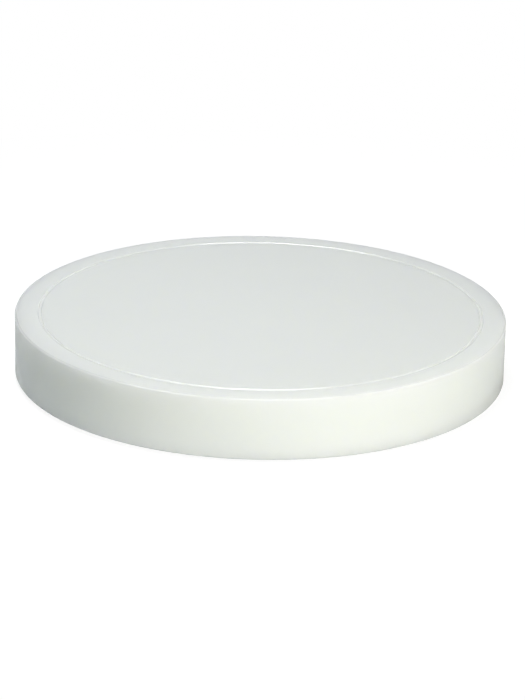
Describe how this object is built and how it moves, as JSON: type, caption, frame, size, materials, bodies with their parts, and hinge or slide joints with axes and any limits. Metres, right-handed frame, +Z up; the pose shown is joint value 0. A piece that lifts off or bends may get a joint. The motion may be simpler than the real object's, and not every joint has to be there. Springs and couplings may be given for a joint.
{
  "type": "round cutting board",
  "caption": "Thick round polyethylene cutting board with a juice groove near the rim of its top face, standing on push-in rubber feet.",
  "frame": {"origin": "on the worktop that the feet stand on, under the centre of the slab", "axes": "+Z up along the slab's axis; +X from that axis through foot_1"},
  "size_m": [0.4, 0.4, 0.053],
  "materials": {
    "slab_polyethylene": "satin, slightly translucent white",
    "foot_rubber": "matt light grey"
  },
  "bodies": {
    "root": {"board_slab": "slab_polyethylene", "foot_1": "foot_rubber", "foot_2": "foot_rubber", "foot_3": "foot_rubber", "foot_4": "foot_rubber", "foot_5": "foot_rubber", "foot_6": "foot_rubber"}
  },
  "joints": []
}
